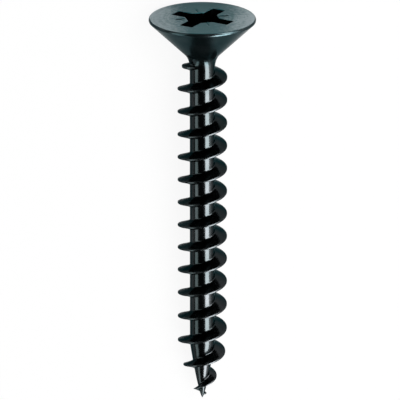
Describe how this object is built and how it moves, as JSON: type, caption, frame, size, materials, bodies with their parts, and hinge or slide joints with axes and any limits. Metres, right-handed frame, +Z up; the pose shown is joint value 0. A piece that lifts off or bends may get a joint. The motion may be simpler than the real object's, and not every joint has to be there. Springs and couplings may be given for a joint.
{
  "type": "multi-purpose screw",
  "caption": "Black steel countersunk screw with a cross recess, a coarse right-hand thread up to the head and a sharp point, lying on its side.",
  "frame": {"origin": "on the surface it lies on, under the middle of the screw's box", "axes": "the screw lies along Y with its head towards +Y and its point towards -Y, tilted about 4.7 degrees down to the point; +Z up"},
  "size_m": [0.0104, 0.0402, 0.0104],
  "materials": {
    "black_steel": "hardened steel with a glossy black phosphate or oxide finish, lightly oiled"
  },
  "bodies": {
    "root": {"screw": "black_steel"}
  },
  "joints": []
}
